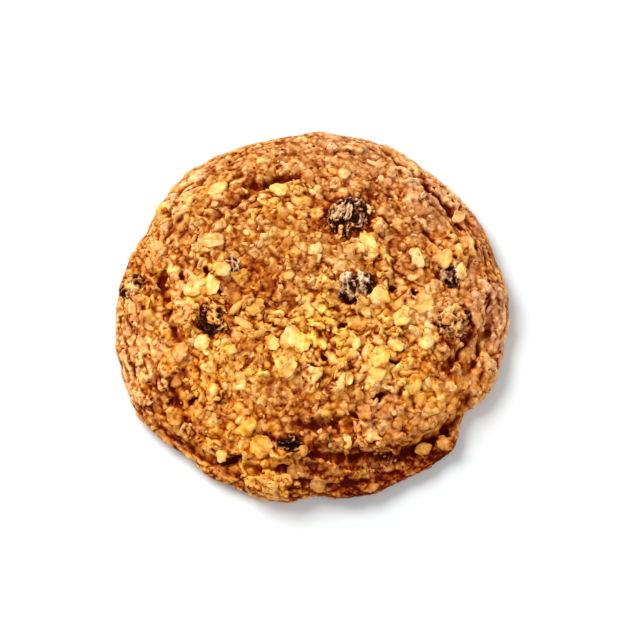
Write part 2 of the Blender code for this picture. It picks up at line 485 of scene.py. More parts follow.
# Folds where the dough slumped over itself: first and last angle in degrees, radius at each,
# half width, depth, and how much lower the dough is outside the fold.
FOLDS = (
    (30, 69, 45.0, 49.0, 0.7, 1.3, 0.6),
    (12, 41, 41.4, 35.4, 0.7, 1.2, 0.4),
    (8, 52, 47.6, 46.0, 0.6, 1.0, 0.2),
    (-24, 6, 43.8, 47.0, 0.7, 0.8, 0.4),
    (-30, -5, 36.4, 43.2, 0.7, 1.3, 0.5),
    (-94, -46, 38.0, 46.0, 1.2, 1.4, 1.0),
    (-56, -27, 45.6, 46.8, 1.0, 1.2, 1.0),
    (-100, -58, 31.6, 31.0, 1.0, 0.8, 0.4),
    (-114, -82, 36.8, 37.6, 0.9, 0.9, 0.4),
    (-116, -92, 45.8, 43.6, 0.9, 1.8, 0.0),
    (-99, -60, 46.0, 48.4, 0.8, 0.7, 0.2),
    (94, 128, 36.8, 35.4, 1.2, 1.8, 0.4),
    (120, 146, 35.6, 33.6, 0.7, 1.0, 0.3),
    (115, 128, 42.3, 41.0, 0.6, 1.1, 0.2),
    (129, 140, 48.4, 48.2, 0.6, 0.9, 0.2),
    (140, 153, 41.0, 43.0, 0.7, 1.1, 0.2),
    (160, 197, 39.8, 35.0, 0.8, 1.2, 0.5),
    (190, 206, 49.0, 49.4, 0.6, 1.0, 0.2),
    (212, 250, 50.0, 46.4, 1.1, 1.3, 0.5),
    (208, 226, 41.6, 43.6, 0.8, 1.2, 0.3),
)

# Open pits: place, half length, half width, turn in degrees, and depth.
PITS = (
    (8.4, -5.4, 1.5, 0.7, 20, 2.0),
    (17.8, -24.7, 2.2, 0.7, 28, 2.6),
    (3.4, -14.4, 0.7, 0.6, 0, 1.9),
    (0.3, -16.4, 1.5, 0.5, -25, 1.9),
    (21.6, -15.3, 0.9, 0.8, 0, 1.6),
    (35.3, -31.9, 2.0, 1.1, 60, 2.8),
    (-20.6, -40.6, 2.6, 1.0, 5, 2.6),
    (-30.8, -25.0, 1.7, 0.8, 40, 1.9),
    (-36.8, -25.1, 1.2, 0.5, 60, 1.3),
    (27.0, 3.9, 0.8, 0.8, 0, 1.6),
    (-23.8, 3.5, 1.0, 0.7, 30, 1.5),
    (-27.3, 9.8, 1.0, 0.5, 70, 1.0),
    (-33.8, 8.9, 0.7, 1.2, 0, 1.6),
    (21.3, 4.8, 0.9, 0.7, 40, 1.4),
    (-9.6, -6.0, 1.6, 0.7, -40, 1.6),
)

crust_random = np.random.default_rng(2024)
RAISIN_NODES = sorted(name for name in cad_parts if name.startswith("raisin"))


def raisin_form(node_name):
    """Middle and half size of a raisin's box in millimetres."""
    low, high = (np.array(corner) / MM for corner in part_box(node_name))
    return (low + high) / 2, (high - low) / 2


def opening(points, node_name):
    """1 well inside a raisin's opening, 0 outside it."""
    middle, half = raisin_form(node_name)
    across, away, half_length, half_width, ragged = OPENINGS[node_name]
    from_middle = points - middle - np.array([across, away, 0])
    from_middle = from_middle / np.array([half_length, half_width, half[2] + 2.5])
    torn = ragged * ripple(points, 2.8, 15)
    return smooth_step((1.15 - torn - np.linalg.norm(from_middle, axis=1)) / 0.3)


def socket_plug(node_name):
    """Dough round a raisin: a thin skin over it, and a deep bed where its opening is."""
    ball, triangles = unit_ball(4)
    middle, half = raisin_form(node_name)
    points = ball * half
    thickness = 1.1 - 2.7 * opening(points + middle, node_name)
    return points + unit(points) * thickness[:, None] + middle, triangles


def rim_share(points):
    """0 in the middle of the top, 1 at the outer edge."""
    return np.hypot(points[:, 0], points[:, 1]) / EDGE_REACH


def fading(points, x, y, reach, steepness):
    """1 at a place seen from above, fading out to 0 round it."""
    apart = np.hypot(points[:, 0] - x, points[:, 1] - y) / reach
    return np.exp(-apart ** 2 * steepness)


def heaped(points, part):
    """Sum over the heaps of one of their values, fading out from each one's middle."""
    total = np.zeros(len(points))
    for heap in HEAPS:
        total += heap[part] * fading(points, *heap[:3], 1.4)
    return total


def lumpiness(points):
    """0 where the dough set nearly smooth, 1 where it is heaped with lumps and oats."""
    total = 0.5 + 0.8 * ripple(points, 7.5, 33)
    for x, y, reach, amount in PATCHES:
        total += amount * fading(points, x, y, reach, 1.2)
    return np.clip(total, 0, 1)


def folds_at(points):
    """How much lower the folds make the surface, and 1 in a fold's line to 0 away from it."""
    radius = np.hypot(points[:, 0], points[:, 1])
    angle = np.degrees(np.arctan2(points[:, 1], points[:, 0]))
    wander = 1.0 * ripple(points, 7.0, 21) + 0.7 * ripple(points, 2.4, 22)
    uneven = 0.8 + 0.7 * ripple(points, 3.5, 23)
    lower = np.zeros(len(points))
    line = np.zeros(len(points))
    for first, last, first_radius, last_radius, width, depth, drop in FOLDS:
        along = ((angle - first) % 360) / (last - first)
        there = along < 1
        strength = np.where(there, np.sin(math.pi * np.minimum(along, 1)), 0) ** 0.5
        out = radius - first_radius - (last_radius - first_radius) * np.minimum(along, 1) - wander
        reach = width * np.where(out < 0, 0.9, 1.1)
        cut = np.exp(-(out / reach) ** 2) * strength * np.clip(uneven, 0.1, 1)
        lip = np.exp(-((out + 2.2 * width) / (1.6 * width)) ** 2) * strength
        below = smooth_step(out / width + 0.5) * np.exp(-np.maximum(out, 0) / 6.0) * strength
        lower += depth * cut + drop * below - 0.25 * lip
        line = np.maximum(line, cut)
    return lower, line


def pits_at(points):
    """How deep the open pits are, and 1 in a pit to 0 outside."""
    deep = np.zeros(len(points))
    inside = np.zeros(len(points))
    places = stirred(points, 1.6, 0.5, 31)
    for x, y, half_length, half_width, turn, depth in PITS:
        along, aside = turned(places[:, 0] - x, places[:, 1] - y, turn)
        hole = np.exp(-((along / half_length) ** 2 + (aside / half_width) ** 2) ** 1.5)
        deep += depth * hole
        inside = np.maximum(inside, hole)
    return deep, inside


plugs = [socket_plug(node_name) for node_name in RAISIN_NODES]
batches = [read_shape(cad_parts["dough"].data), *plugs]
core = fused(new_piece("core", new_mesh("core", *joined(batches))), CORE_VOXEL)
core_points, core_normals = read_points(core.data)
core_triangles = read_triangles(core.data)
facing_down = smooth_step((-0.2 - core_normals[:, 2]) / 0.6)
swell = 0.45 * ripple(core_points, 9.0, 41) + 0.5 * ripple(core_points, 4.5, 42)
swell = swell * np.interp(rim_share(core_points), [0.8, 0.95], [1.0, 0.8])
swell += heaped(core_points, RISE) - SKIN_DEPTH
swollen = core_points + core_normals * (swell * (1 - facing_down))[:, None]
core_points, core_normals = reshaped(core.data, swollen)


def off_raisins(places):
    """Which places have dough under them, and not a raisin's opening."""
    return np.all([opening(places, node_name) < 0.3 for node_name in RAISIN_NODES], axis=0)


def top_places(count, random):
    """Places on the crust's top and sides, clear of the base, raisins, folds and pits."""
    places, facing = surface_places(core_points, core_triangles, count, random)
    keep = (facing[:, 2] > -0.5) & (places[:, 2] > 0.8) & (rim_share(places) < 0.95)
    keep &= off_raisins(places) & (folds_at(places)[1] < 0.7) & (pits_at(places)[1] < 0.3)
    return places[keep], facing[keep]


def in_drifts(places, random):
    """Which places to keep so that lumps lie in drifts and thin out towards the edge."""
    edge = np.interp(rim_share(places), [0.80, 0.93, 0.99], [1.0, 0.6, 0.25])
    return random.random(len(places)) < 1.15 * lumpiness(places) * edge


# Whole oats that stand out on the top: place, length, width, turn in degrees, and paleness.
STANDING_OATS = (
    (-9.2, 32.6, 4.8, 4.6, 0, 0.98),
    (-26.7, 18.5, 6.8, 4.2, -8, 0.84),
    (-31.3, 5.4, 5.7, 4.8, 85, 0.98),
    (-26.4, 5.0, 5.0, 3.9, 80, 0.95),
    (1.3, 15.2, 4.0, 3.4, 60, 0.90),
    (-23.0, 9.8, 4.2, 3.8, 30, 0.86),
    (-0.8, -2.3, 4.4, 3.8, 40, 0.92),
    (-33.3, -12.2, 5.3, 4.6, 70, 0.74),
    (-28.7, -10.8, 4.9, 3.9, 75, 0.95),
    (-5.3, -9.3, 6.4, 4.9, 65, 1.0),
    (-1.4, -11.1, 5.6, 4.6, 60, 1.0),
    (-6.7, -18.0, 6.4, 3.4, 62, 0.95),
    (-10.9, -11.1, 4.4, 3.4, -50, 0.93),
    (-13.1, -38.0, 6.2, 5.8, 0, 0.88),
    (-17.5, -33.5, 6.4, 4.0, 25, 0.85),
    (-23.8, -39.8, 3.4, 3.0, 60, 0.98),
    (-13.0, -46.4, 4.0, 3.6, 80, 0.97),
    (-7.4, -46.9, 5.6, 3.8, 5, 0.95),
    (26.9, 12.9, 5.6, 3.4, 105, 1.0),
    (14.4, 17.8, 6.5, 4.0, 105, 1.0),
    (8.0, 37.3, 3.9, 3.8, 0, 0.85),
    (38.7, 9.0, 4.4, 3.7, 80, 0.98),
    (35.4, 13.8, 5.6, 4.2, 75, 0.85),
    (18.7, 2.2, 5.3, 5.0, 60, 0.93),
    (30.3, 0.6, 6.2, 5.2, 30, 0.97),
    (24.0, -3.9, 5.2, 4.2, 20, 0.97),
    (39.4, 27.1, 4.2, 3.2, 50, 0.90),
    (14.6, 27.3, 4.4, 1.6, -62, 0.98),
    (22.3, -10.9, 4.2, 3.9, 0, 0.97),
    (29.3, -10.3, 3.9, 3.9, 0, 0.97),
    (12.0, -10.5, 4.0, 2.0, 85, 1.0),
    (18.1, -15.4, 5.7, 4.9, 60, 0.93),
    (17.8, -19.4, 4.6, 4.2, 30, 0.92),
    (10.4, -21.3, 3.2, 2.0, 85, 1.0),
    (27.6, -21.4, 5.7, 3.6, 80, 0.88),
    (10.1, -36.2, 4.2, 2.8, 85, 0.95),
    (35.4, -35.2, 4.6, 3.6, -35, 0.84),
    (29.7, -37.1, 4.4, 3.3, 20, 0.82),
)

# Small lumps that stand proud of the edge and of the front fold: place, and half size.
EDGE_LUMPS = (
    (-17.6, -44.8, 1.4),
    (-16.2, -46.8, 1.7),
    (-13.6, -48.2, 1.6),
    (-12.6, -45.8, 1.8),
    (-9.8, -47.6, 1.9),
    (-6.8, -49.0, 1.6),
    (-6.2, -46.4, 1.6),
    (-3.8, -47.6, 1.3),
    (39.8, 16.4, 1.8),
    (41.4, 13.8, 1.3),
    (38.0, 20.0, 1.5),
    (41.0, 22.6, 1.4),
    (33.6, 34.4, 1.7),
    (36.6, 33.2, 1.4),
    (38.6, 30.2, 1.6),
    (-36.4, 29.2, 1.8),
    (-39.8, 26.6, 1.5),
    (3.3, -36.2, 1.8),
    (8.4, -36.8, 1.5),
    (12.8, -37.6, 2.0),
    (18.2, -36.6, 1.6),
    (23.0, -35.6, 1.9),
)

# Half length, width and thickness of the lesser oats and of the chips of oat buried in the
# skin, the spread of each, and how many places are tried for them and for the lumps of dough.
OAT_HALF_THICKNESS = 0.34
OAT_HALVES = (2.35, 1.85, OAT_HALF_THICKNESS)
CHIP_HALVES = (1.9, 1.45, 0.42)
FLAKE_SPREADS = (0.4, 0.3, 0.05)
CHIP_RINGS = (0.5, 0.85, 1.0)
CHIP_SIDES = 14
CLOD_HALF = 2.1
MORE_OATS = 50
CLODS = 900
CHIPS = 4000

core_tree = tree_of(core_points)


def on_core(x, y):
    """The core's point straight below a place on the top, and its normal."""
    aside = np.hypot(core_points[:, 0] - x, core_points[:, 1] - y)
    near = np.flatnonzero((aside < 1.0) & (core_normals[:, 2] > 0.2))
    if not len(near):
        near = np.array([core_tree.find((x, y, 0.5 * DOME_HEIGHT))[1]])
    best = near[np.argmax(core_points[near, 2])]
    around = [index for _, index, _ in core_tree.find_range(core_points[best], 2.5)]
    normal = core_normals[around].mean(axis=0)
    return core_points[best], normal / np.linalg.norm(normal)


def standing_oats():
    """Place, facing, half sizes, turned frame and tone of the oats that stand out."""
    places, facing, halves, turns, tones = [], [], [], [], []
    for x, y, length, width, turn, tone in STANDING_OATS:
        place, normal = on_core(x, y)
        heading = np.array([math.cos(math.radians(turn)), math.sin(math.radians(turn)), 0.0])
        up = normal + 0.08 * crust_random.normal(size=3)
        up /= np.linalg.norm(up)
        along = heading - up * (heading @ up)
        along /= np.linalg.norm(along)
        places.append(place)
        facing.append(normal)
        halves.append((length / 2, width / 2, OAT_HALF_THICKNESS))
        turns.append(np.stack([along, np.cross(up, along), up]))
        tones.append(tone)
    return [np.array(part) for part in (places, facing, halves, turns, tones)]


oat_places, oat_facing, oat_halves, oat_turns, oat_tones = standing_oats()
more_places, more_facing = top_places(MORE_OATS, crust_random)
flat_rim = rim_share(more_places) < 0.93
more_places, more_facing = more_places[flat_rim], more_facing[flat_rim]
more_halves = flake_halves(len(more_places), OAT_HALVES, FLAKE_SPREADS, crust_random)
gaps = np.concatenate([oat_halves[:, 0], more_halves[:, 0]]) * 2.5
chosen = spaced(np.concatenate([oat_places, more_places]), gaps)[len(oat_places):]
more_places, more_facing, more_halves = (part[chosen] for part in (more_places, more_facing, more_halves))
more_turns = stances(more_facing, 0.12, crust_random)
more_tones = np.clip(crust_random.normal(0.64, 0.08, len(more_places)), 0.45, 0.9)
oat_places = np.concatenate([oat_places, more_places])
oat_facing = np.concatenate([oat_facing, more_facing])
oat_halves = np.concatenate([oat_halves, more_halves])
oat_turns = np.concatenate([oat_turns, more_turns])
oat_tones = np.concatenate([oat_tones, more_tones])
oat_lift = np.where(rim_share(oat_places) > 0.86, 0.25, 0.45) + crust_random.normal(0, 0.12, len(oat_places))
oat_middles = oat_places + oat_facing * oat_lift[:, None]


def in_flake(points, middle, turn, half):
    """Heights of points over a flake, and how far out in its oval each lies, squared."""
    local = (points - middle) @ turn.T
    return local[:, 2], (local[:, 0] / half[0]) ** 2 + (local[:, 1] / half[1]) ** 2


def on_oats(points, reach):
    """Which points lie on a whole oat, out to `reach` times its half sizes."""
    covered = np.zeros(len(points), bool)
    for middle, turn, half in zip(oat_middles, oat_turns, oat_halves):
        near = np.flatnonzero(((points - middle) ** 2).sum(axis=1) < (half[0] * reach + 1.5) ** 2)
        flat = in_flake(points[near], middle, turn, half)[1]
        covered[near[flat < reach ** 2]] = True
    return covered


# A pad of dough under each whole oat.
pad_places = oat_places + oat_facing * (oat_lift[:, None] - 0.65)
pad_halves = oat_halves * np.array([0.95, 0.95, 1.6])
pads = lump_batch(pad_places, oat_turns, pad_halves, detail=3, bulge=0.15, seed=6)

# Lumps of dough in drifts over the top.
clod_places, clod_facing = top_places(CLODS, crust_random)
clod_sizes = CLOD_HALF * crust_random.lognormal(0, 0.25, len(clod_places))
chosen = spaced(clod_places, clod_sizes * 2.2) & ~on_oats(clod_places, reach=0.72)
chosen &= in_drifts(clod_places, crust_random)
clod_places, clod_facing, clod_sizes = (part[chosen] for part in (clod_places, clod_facing, clod_sizes))
clod_halves = clod_sizes[:, None] * (0.72 + 0.56 * crust_random.random((len(clod_places), 3)))
clod_halves[:, 2] *= 0.5 * np.interp(rim_share(clod_places), [0.84, 0.97], [1.0, 0.55])
clod_turns = stances(clod_facing, lean=0.25, random=crust_random)
clods = lump_batch(clod_places, clod_turns, clod_halves, detail=3, bulge=0.5, seed=5)

# Lumps that stand proud of the edge and of the front fold.
edge_places, edge_facing = (np.array(part) for part in zip(*[on_core(x, y) for x, y, _ in EDGE_LUMPS]))
edge_halves = np.array([half for _, _, half in EDGE_LUMPS])[:, None] * np.array([[0.9, 0.8, 0.75]])
edge_turns = stances(edge_facing, lean=0.2, random=crust_random)
edge_middles = edge_places + 0.7 * edge_facing
edge_clods = lump_batch(edge_middles, edge_turns, edge_halves, detail=3, bulge=0.4, seed=7)

# Chips of oat buried in the skin, lying flatter and deeper towards the edge.
chip_places, chip_facing = top_places(CHIPS, crust_random)
chip_halves = flake_halves(len(chip_places), CHIP_HALVES, FLAKE_SPREADS, crust_random)
chosen = spaced(chip_places, chip_halves[:, 0] * 1.9) & ~on_oats(chip_places, reach=0.85)
chosen &= in_drifts(chip_places, crust_random)
chip_places, chip_facing, chip_halves = (part[chosen] for part in (chip_places, chip_facing, chip_halves))
chip_rim = np.interp(rim_share(chip_places), [0.82, 0.95], [1.0, 0.35])
chip_turns = stances(chip_facing, 0.22 * chip_rim, crust_random)
chip_rise = (0.35 + crust_random.normal(0, 0.2, len(chip_places))) * chip_rim
chip_middles = chip_places + chip_facing * chip_rise[:, None]
chip_cup = crust_random.normal(0.05, 0.2, len(chip_places))
chips = flake_batch(
    chip_middles, chip_turns, chip_halves, chip_cup,
    broken=0.5, rings=CHIP_RINGS, sides=CHIP_SIDES, random=crust_random)[:2]

batches = [(core_points, core_triangles), pads, clods, edge_clods, chips]
crust = fused(new_piece("baked_crust", new_mesh("crust", *joined(batches))), CRUST_VOXEL)


def blurred(values, triangles, rounds):
    """Values averaged with their neighbours over and over."""
    edges = np.concatenate([triangles[:, [0, 1]], triangles[:, [1, 2]], triangles[:, [2, 0]]])
    count = len(values)
    degree = np.bincount(edges[:, 0], minlength=count) + np.bincount(edges[:, 1], minlength=count)
    values = np.array(values, float)
    for _ in range(rounds):
        total = np.zeros_like(values)
        for part in range(values.shape[1]):
            total[:, part] = np.bincount(edges[:, 0], values[edges[:, 1], part], count)
            total[:, part] += np.bincount(edges[:, 1], values[edges[:, 0], part], count)
        values = 0.5 * values + 0.5 * total / np.maximum(degree, 1)[:, None]
    return values


def on_edge_lumps(points):
    """1 in the middle of a lump that stands proud of the edge or front fold, 0 away from them."""
    near = np.zeros(len(points))
    for place, (_, _, half) in zip(edge_places, EDGE_LUMPS):
        near = np.maximum(near, np.exp(-((points - place) ** 2).sum(axis=1) / (1.5 * half) ** 2))
    return near


# The edge melted and ran smooth; the middle stayed lumpy.
points, triangles = read_shape(crust.data)
melted = blurred(points, triangles, rounds=3)
runny = smooth_step((rim_share(points) - 0.80) / 0.12) * (1 - on_edge_lumps(points))
melted = melted + (blurred(melted, triangles, rounds=4) - melted) * runny[:, None]
points, normals = reshaped(crust.data, melted)
outward = unit(blurred(normals, triangles, rounds=12))


def owners(points, middles, turns, halves, margin):
    """For each point, the buried chip whose body it lies in, or -1."""
    owner = np.full(len(points), -1)
    best = np.full(len(points), 1e9)
    tree = tree_of(points)
    for flake, (middle, turn, half) in enumerate(zip(middles, turns, halves)):
        near = np.array([index for _, index, _ in tree.find_range(middle, half[0] * 1.15)], int)
        if not len(near):
            continue
        height, flat = in_flake(points[near], middle, turn, half)
        score = np.where(flat < 1.05, np.abs(height) / (half[2] + margin), 9)
        better = (score < 1) & (score < best[near])
        owner[near[better]] = flake
        best[near[better]] = score[better]
    return owner


def raised(own, share):
    """How far each lump stands up: about `share` of them stand, each to its own height."""
    return smooth_step((own - 1 + share) / 0.4) * (0.6 + 0.5 * own)


def pores_in(bead, own):
    """1 in the pinholes that steam left, where some of the smallest grains would be."""
    return np.clip(4 * bead - 3, 0, 1) * (own < 0.08)


def creased(points, size, seed):
    """Swellings of all shapes with sharp creases between them: 0 in a crease, about 1 on top."""
    return np.minimum(np.abs(ripple(points, size, seed)) * 2.2, 1.4)


def lumpy_relief(places, heaping):
    """Height of the dough's lumps; how much paler each one is, partly its own baked tone and partly painted
    light on the raised tops; and painted shade, 1 in a crack between them.
    """
    bent = stirred(places, 2.6, 0.9, 52)
    parted, _, parted_own = pebbles(stirred(places, 4.0, 1.8, 51), 4.2, 1)
    _, knob, knob_own = pebbles(bent, 2.9, 2)
    fine, bead, bead_own = pebbles(stirred(places, 1.6, 0.45, 53), 1.5, 3)
    swollen = creased(bent, 3.4, 54)
    standing = knob * raised(knob_own, 0.7)
    beaded = bead * raised(bead_own, 0.7)
    pores = pores_in(bead, bead_own)
    relief = 0.48 * (parted - 0.7) * (0.5 + 0.9 * parted_own)
    relief = relief + 0.32 * (standing - 0.2) + 0.32 * (swollen - 0.6)
    relief = relief * (0.4 + 0.75 * heaping) + 0.17 * (beaded - 0.15)
    relief = relief + 0.14 * ripple(places, 2.0, 5) - 0.2 * pores
    # Paler on the standing knobs, swellings and beads: partly each grain's own tone, partly painted light on
    # the tops.
    paler = 0.14 * (parted_own - 0.5) + 0.13 * (standing - 0.3) + 0.15 * (swollen - 0.6)
    paler = paler * (0.5 + 0.6 * heaping) + 0.12 * (beaded - 0.2)
    # Painted shade in the cracks between grains and in the pinholes.
    crack_shade = np.clip(1 - parted / 0.28, 0, 1) * (0.55 + 0.6 * heaping)
    return relief, paler, crack_shade + 0.34 * np.clip(1 - fine / 0.28, 0, 1) + 0.4 * pores


def rim_relief(points, heaping):
    """The same for the edge, where the lumps ran softer and longer and wrinkles go round it."""
    radius = np.hypot(points[:, 0], points[:, 1])
    turn = np.arctan2(points[:, 1], points[:, 0])
    places = np.stack([radius, turn * EDGE_REACH * 0.5, points[:, 2]], axis=1)
    parted, _, parted_own = pebbles(stirred(places, 3.6, 1.5, 64), 3.4, 65)
    ridges = creased(stirred(places, 5.0, 1.8, 58) * [1, 0.6, 1], 2.6, 59)
    _, knob, knob_own = pebbles(stirred(points, 2.2, 0.8, 66), 2.2, 67)
    fine, bead, bead_own = pebbles(stirred(points, 1.4, 0.4, 68), 1.3, 69)
    standing = knob * raised(knob_own, 0.6)
    beaded = bead * raised(bead_own, 0.7)
    wrinkle = ripple(stirred(places, 3.0, 0.8, 62) * [1, 0.4, 1], 1.8, 61)
    relief = 0.36 * (parted - 0.5) * (0.5 + parted_own) + 0.24 * standing + 0.34 * (ridges - 0.6)
    pores = pores_in(bead, bead_own)
    relief = relief * (0.6 + 0.5 * heaping) + 0.24 * beaded + 0.24 * wrinkle
    relief += 0.12 * ripple(points, 1.2, 63) - 0.4 * pores
    # Paler on the raised lumps, wrinkles and ridges: partly each grain's own tone, partly painted light on
    # the tops.
    paler = 0.10 * (parted_own - 0.5) + 0.08 * (standing - 0.2) + 0.08 * wrinkle + 0.12 * (ridges - 0.6)
    paler = paler * (0.6 + 0.5 * heaping) + 0.14 * (beaded - 0.2)
    # Painted shade in the cracks, in the pinholes and between the ridges, with less of it towards the upper
    # right.
    crack_shade = np.clip(1 - parted / 0.28, 0, 1) + 0.4 * np.clip(1 - fine / 0.3, 0, 1)
    crack_shade *= np.clip(0.6 - 0.5 * (points[:, 0] + points[:, 1]) / EDGE_REACH, 0.25, 1)
    crack_shade += 0.35 * np.clip(1 - ridges / 0.22, 0, 1)
    return relief, paler, crack_shade + 0.8 * pores


LID = 16.4
LID_SOFTNESS = 0.5


def under_lid(points):
    """Points pressed softly down where they stand above the cookie's height, and off the table."""
    above = np.maximum(points[:, 2] - LID, 0)
    height = points[:, 2] - above + above * LID_SOFTNESS
    return np.column_stack([points[:, :2], np.maximum(height, 0)])


share = rim_share(points)
edge = smooth_step((share - 0.74) / 0.16)
heaping = lumpiness(points)
in_middle, at_rim = lumpy_relief(points, heaping), rim_relief(points, heaping)
relief, paler, crack_shade = (middle * (1 - edge) + rim * edge for middle, rim in zip(in_middle, at_rim))
clod = on_edge_lumps(points)
relief *= 1 - 0.5 * clod
# More painted shade in the cracks on the lumps that stand proud of the edge.
crack_shade *= 1 + 0.9 * clod
fold_depth, fold_line = folds_at(points)
pit_depth, pit_mark = pits_at(points)
down = smooth_step((-0.3 - outward[:, 2]) / 0.5)
points += outward * ((relief - fold_depth - pit_depth) * (1 - down))[:, None]
points[:, 2] = np.maximum(points[:, 2], 0.12 * pebbles(points, 2.2, 6)[0])
points, normals = reshaped(crust.data, points)


def sunk(points, normals, triangles, rounds):
    """How far each point lies below the surface smoothed over its surroundings."""
    smooth = blurred(points, triangles, rounds)
    way = unit(blurred(normals, triangles, rounds))
    return np.einsum("ij,ij->i", smooth - points, way)


# Blunt the thin slivers that stand up between close lumps.
sliver = smooth_step((-sunk(points, normals, triangles, rounds=3) - 0.12) / 0.15)
sliver = np.maximum(sliver, 0.7 * smooth_step(fold_line / 0.4))[:, None]
strand = smooth_step((-sunk(points, normals, triangles, rounds=12) - 0.42) / 0.2)[:, None]
points = points * (1 - sliver) + blurred(points, triangles, rounds=6) * sliver
points = points * (1 - strand) + blurred(points, triangles, rounds=20) * strand
points, normals = reshaped(crust.data, under_lid(points))


def baked(points):
    """How browned the surface is: golden in the middle, brown along the rim and underneath."""
    share = rim_share(points)
    browned = np.interp(share, [0.15, 0.50, 0.78, 0.95], [0.0, 0.35, 0.6, 0.8])
    # Browner towards the right and the front and paler towards the upper left: partly the baking, partly
    # painted light and shade from the window lamp's side.
    browned = browned * (1 + 0.45 * (points[:, 0] - 0.6 * points[:, 1]) / EDGE_REACH)
    return np.clip(browned + 0.25 * ripple(points, 8.0, 71), 0, 1)


def foot_shade(points):
    """1 on the foot that spread out at the front right, 0 elsewhere; the foot is darkened there as painted
    shade under the cap's edge.
    """
    outside = smooth_step((-points[:, 1] - 20) / 14) * smooth_step((rim_share(points) - 0.87) / 0.10)
    return outside * smooth_step((points[:, 0] + 10) / 8)


owner = owners(points, chip_middles, chip_turns, chip_halves, margin=0.42)
chip_tones = crust_random.normal(0.11, 0.08, len(chip_middles))
# The dough's own tone, with painted light on the lump tops and painted shade in the cracks.
tone = 0.52 + 0.07 * ripple(points, 7.0, 72) + 0.11 * ripple(points, 3.2, 73) + paler - 0.40 * crack_shade
tone += 1.5 * heaped(points, PALER) + 0.15 * (lumpiness(points) - 0.5)
chip_tone = blurred(np.where(owner >= 0, chip_tones[owner], 0.0)[:, None], triangles, rounds=1)[:, 0]
tone += chip_tone * (1 - 0.6 * edge)
# Painted shade: darker the deeper a point lies below its broad and its near surroundings.
tone -= 0.32 * np.clip(sunk(points, normals, triangles, rounds=30), -0.30, 0.6)
tone -= 1.30 * np.clip(sunk(points, normals, triangles, rounds=5), -0.10, 0.3)
# Painted shade in a ring round each raisin's opening.
for node_name in RAISIN_NODES:
    mouth = opening(points, node_name)
    tone -= 0.30 * smooth_step(mouth / 0.2) * smooth_step((1.4 - mouth) / 0.5)
# Painted shade in the folds and the pits.
tone -= 0.22 * fold_line + 0.22 * pit_mark
# Painted shade on the foot, which also takes back the painted light on its raised lumps.
tone -= (0.19 + 0.9 * np.clip(paler, 0, 1)) * foot_shade(points)
under = smooth_step((-0.5 - normals[:, 2]) / 0.4)
tone = tone * (1 - under) + (0.40 + 0.05 * ripple(points, 5.0, 74)) * under
browned = baked(points) * (1 - 0.6 * np.clip(4 * paler, 0, 1))
upright = np.clip(normals[:, 2] / 0.6, 0, 1)
browned *= 0.5 + 0.5 * upright
tone -= 0.12 * (1 - upright) * smooth_step((share - 0.88) / 0.08)


def buttery(points):
    """How orange and buttery the surface is, 0.5 on the whole; dry and greyer towards 0."""
    orange = 0.28 * ripple(points, 1.2, 75) + 0.32 * ripple(points, 2.3, 76) + 0.30 * ripple(points, 4.5, 77)
    orange += 0.24 * ripple(points, 9.0, 78) + 0.25 * (lumpiness(points) - 0.5)
    return np.clip(0.52 + orange + heaped(points, ORANGE), 0, 1)


def write_baking(mesh, tone, browned, butter):
    """Store what the colour of baked dough is made from."""
    write_attribute(mesh, "tone", tone)
    write_attribute(mesh, "browned", browned)
    write_attribute(mesh, "butter", butter)


# Thin the crust, and give each point that is left the colour it had before.
before = tree_of(points)
thin(crust, CRUST_TRIANGLES)
crust_points, crust_triangles = read_shape(crust.data)
nearest = np.array([before.find(point)[1] for point in crust_points])
butter = np.clip(buttery(crust_points) + 0.5 * paler[nearest], 0, 1)
write_baking(crust.data, tone[nearest], browned[nearest], butter)


def wire(tree, *links):
    """Connect sockets, each link given as (from socket, to socket)."""
    for start, end in links:
        tree.links.new(start, end)


def node(tree, kind, **values):
    """A new node with some of its settings."""
    made = tree.nodes.new(kind)
    for name, value in values.items():
        setattr(made, name, value)
    return made


def set_inputs(made, values):
    """Set a node's unconnected inputs by name."""
    for label, value in values.items():
        made.inputs[label].default_value = value


def new_group(name, inputs, outputs):
    """A shader node group with number inputs, and outputs given as (name, kind)."""
    group = bpy.data.node_groups.new(name, "ShaderNodeTree")
    for label, value in inputs:
        made = group.interface.new_socket(label, in_out="INPUT", socket_type="NodeSocketFloat")
        made.default_value = value
    for label, kind in outputs:
        group.interface.new_socket(label, in_out="OUTPUT", socket_type="NodeSocket" + kind)
    return group, node(group, "NodeGroupInput"), node(group, "NodeGroupOutput")


def maths(tree, operation, first, second):
    """The output of a Math node on two sockets or numbers."""
    made = node(tree, "ShaderNodeMath", operation=operation)
    for slot, value in enumerate((first, second)):
        if isinstance(value, float):
            made.inputs[slot].default_value = value
        else:
            tree.links.new(value, made.inputs[slot])
    return made.outputs[0]


def noise(tree, place, scale, detail):
    """The output of a Noise node, its waves `scale` to a metre."""
    made = node(tree, "ShaderNodeTexNoise", noise_dimensions="3D")
    set_inputs(made, {"Scale": scale, "Detail": detail, "Roughness": 0.6})
    tree.links.new(place, made.inputs["Vector"])
    return made.outputs["Fac"]


def attribute(tree, name):
    """A number that each point of the mesh carries."""
    return node(tree, "ShaderNodeAttribute", attribute_name=name).outputs["Fac"]


def spread_over(tree, value, start, end):
    """A value from one range, (least, most), spread over another and kept inside it."""
    made = node(tree, "ShaderNodeMapRange")
    set_inputs(made, {"From Min": start[0], "From Max": start[1], "To Min": end[0], "To Max": end[1]})
    tree.links.new(value, made.inputs["Value"])
    return made.outputs["Result"]


